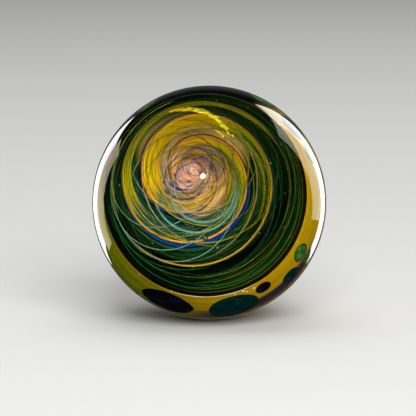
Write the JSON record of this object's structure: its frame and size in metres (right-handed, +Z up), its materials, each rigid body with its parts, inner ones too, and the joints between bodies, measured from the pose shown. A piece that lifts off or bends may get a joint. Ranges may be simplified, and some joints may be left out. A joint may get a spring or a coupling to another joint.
{
  "type": "glass marble",
  "caption": "Round clear glass marble with a deep funnel of gold, orange and blue spiral bands, pale crossing threads and an amber backing with dark and green spots.",
  "frame": {"origin": "centre of the ball", "axes": "+Z up, the clear window over the funnel faces -Y and looks 8 degrees up, +X to the right as seen from the front"},
  "size_m": [0.05, 0.05, 0.05],
  "materials": {
    "clear_glass": "fire-polished, clear",
    "dark_green_glass": "fused, near-black green",
    "amber_glass": "fire-polished, amber yellow",
    "navy_glass": "fire-polished, navy black",
    "teal_glass": "fire-polished, teal",
    "green_glass": "fire-polished, leaf green",
    "rose_glass": "fused, rose and lilac",
    "gold_glass": "fused, gold with a metal fume",
    "orange_glass": "fused, orange",
    "blue_glass": "fused, cobalt blue",
    "foil": "glass with a bright thin-film coating",
    "mint_glass": "fused, pale mint",
    "green_thread_glass": "fused, green",
    "lime_glass": "fused, lime yellow"
  },
  "bodies": {
    "root": {"clear_lens": "clear_glass", "dark_ground": "dark_green_glass", "amber_backing": "amber_glass", "navy_spots": "navy_glass", "teal_spots": "teal_glass", "green_spots": "green_glass", "rose_centre": "rose_glass", "gold_bands": "gold_glass", "orange_lines": "orange_glass", "blue_lines": "blue_glass", "foil_flakes": "foil", "mint_threads": "mint_glass", "green_threads": "green_thread_glass", "lime_threads": "lime_glass"}
  },
  "joints": []
}
